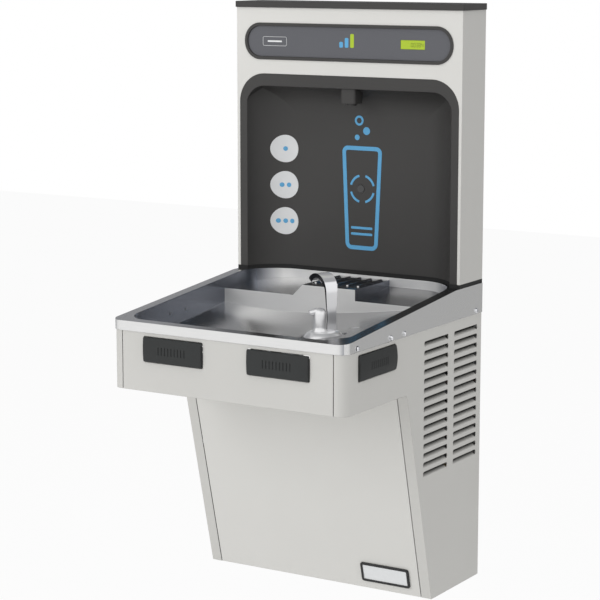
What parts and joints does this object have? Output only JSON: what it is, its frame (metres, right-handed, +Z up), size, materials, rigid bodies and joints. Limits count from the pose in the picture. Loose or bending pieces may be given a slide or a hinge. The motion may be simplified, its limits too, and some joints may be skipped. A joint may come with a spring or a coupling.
{
  "type": "bottle filling station",
  "caption": "Wall-hung drinking water cooler with a stainless basin, chrome bubbler and push pads, under a tower with a recessed, sensor-run bottle filler.",
  "frame": {"origin": "centre of the wall hanger's four bolt holes, on the wall plane", "axes": "+Z up, +Y into the wall, +X to the user's right; the front faces -Y"},
  "size_m": [0.465, 0.477, 1.0136],
  "materials": {
    "steel_panel": "satin platinum-grey paint on sheet steel",
    "stainless": "brushed stainless steel",
    "chrome": "polished",
    "zinc": "bright zinc plate",
    "dark_plastic": "fine-textured dark grey moulding",
    "black_plastic": "satin black moulding",
    "fascia_plastic": "satin grey moulding",
    "lens_black": "gloss black",
    "display_green": "clear window over a green display",
    "plate_white": "satin white",
    "plate_black": "gloss black",
    "rubber": "black rubber",
    "brass": "plain",
    "copper": "drawn copper",
    "water_tube": "white polyethylene",
    "foam": "cream insulating foam",
    "black_enamel": "black enamel",
    "fin_aluminium": "mill finish",
    "pcb_box": "black moulding",
    "coil_blue": "encapsulated coil"
  },
  "bodies": {
    "cabinet": {"wall_hanger": "zinc", "back_frame": "zinc", "bottom_pan": "steel_panel", "side_panel_left": "steel_panel", "side_panel_right": "steel_panel", "apron_panel": "steel_panel", "lower_front_panel": "steel_panel", "nameplate_frame": "plate_black", "nameplate_plate": "plate_white", "basin": "stainless", "basin_screws": "chrome", "drain_strainer": "stainless", "drain_body": "black_plastic", "drain_trap": "black_plastic", "board_drain": "black_plastic", "bubbler_base": "chrome", "bubbler_body": "chrome", "bubbler_hood": "chrome", "bubbler_nut": "brass", "bubbler_tube": "water_tube", "linkage_rail": "zinc", "valve_body": "brass", "tank_tube": "water_tube", "inlet_tube": "water_tube", "water_strainer": "brass", "cold_tank": "foam", "thermostat": "foam", "compressor": "black_enamel", "compressor_feet": "rubber", "condenser_coil": "copper", "condenser_fins": "fin_aluminium", "fan_shroud": "black_plastic", "fan_motor": "black_enamel", "filter_drier": "copper", "refrigerant_tubes": "copper", "junction_box": "zinc", "tower_back_plate": "zinc", "tower_shell": "steel_panel", "top_cap": "dark_plastic", "alcove_liner": "dark_plastic", "fascia_bezel": "dark_plastic", "fascia_panel": "fascia_plastic", "display_window": "display_green", "filler_nozzle": "dark_plastic", "sensor_lens": "lens_black", "tower_gasket": "rubber", "solenoid_valve": "coil_blue", "control_box": "pcb_box", "filler_tube": "water_tube"},
    "front_bar": {"push_bar": "zinc", "front_pad_left": "black_plastic", "front_pad_right": "black_plastic", "bar_springs": "zinc"},
    "side_push_left": {"side_pad_left": "black_plastic"},
    "side_push_right": {"side_pad_right": "black_plastic"},
    "crank_l": {"crank_left": "zinc"},
    "crank_r": {"crank_right": "zinc"},
    "rocker_arms": {"rocker": "zinc"},
    "stem": {"valve_stem": "chrome"},
    "fan": {"fan_blade": "fin_aluminium"}
  },
  "joints": [
    {"name": "front_push", "type": "slide", "parent": "cabinet", "child": "front_bar", "axis": [0, 1, 0], "range_m": [0, 0.006], "stiffness_N_per_m": 700, "springref_m": -0.004, "deforming": ["bar_springs"]},
    {"name": "rocker_turn", "type": "hinge", "parent": "cabinet", "child": "rocker_arms", "pos_m": [0, -0.44, -0.015], "axis": [-1, 0, 0], "range_deg": [0, 12.5]},
    {"name": "valve_stroke", "type": "slide", "parent": "cabinet", "child": "stem", "axis": [0, 1, 0], "range_m": [0, 0.0039]},
    {"name": "side_push_l", "type": "slide", "parent": "cabinet", "child": "side_push_left", "axis": [1, 0, 0], "range_m": [0, 0.005], "stiffness_N_per_m": 300, "springref_m": -0.003},
    {"name": "side_push_r", "type": "slide", "parent": "cabinet", "child": "side_push_right", "axis": [-1, 0, 0], "range_m": [0, 0.005], "stiffness_N_per_m": 300, "springref_m": -0.003},
    {"name": "crank_turn_l", "type": "hinge", "parent": "cabinet", "child": "crank_l", "pos_m": [-0.196, -0.395, -0.039], "axis": [0, 0, -1], "range_deg": [0, 9.7]},
    {"name": "crank_turn_r", "type": "hinge", "parent": "cabinet", "child": "crank_r", "pos_m": [0.196, -0.395, -0.039], "axis": [0, 0, 1], "range_deg": [0, 9.7]},
    {"name": "fan_spin", "type": "hinge", "parent": "cabinet", "child": "fan", "pos_m": [0.15, -0.115, -0.137], "axis": [1, 0, 0], "continuous": true}
  ],
  "couplings": [
    {"joint": "rocker_turn", "follows": "front_push", "rad_per_m": 35.714},
    {"joint": "valve_stroke", "follows": "front_push", "ratio": 0.64286},
    {"joint": "crank_turn_l", "follows": "side_push_l", "rad_per_m": 33.333},
    {"joint": "crank_turn_r", "follows": "side_push_r", "rad_per_m": 33.333}
  ]
}
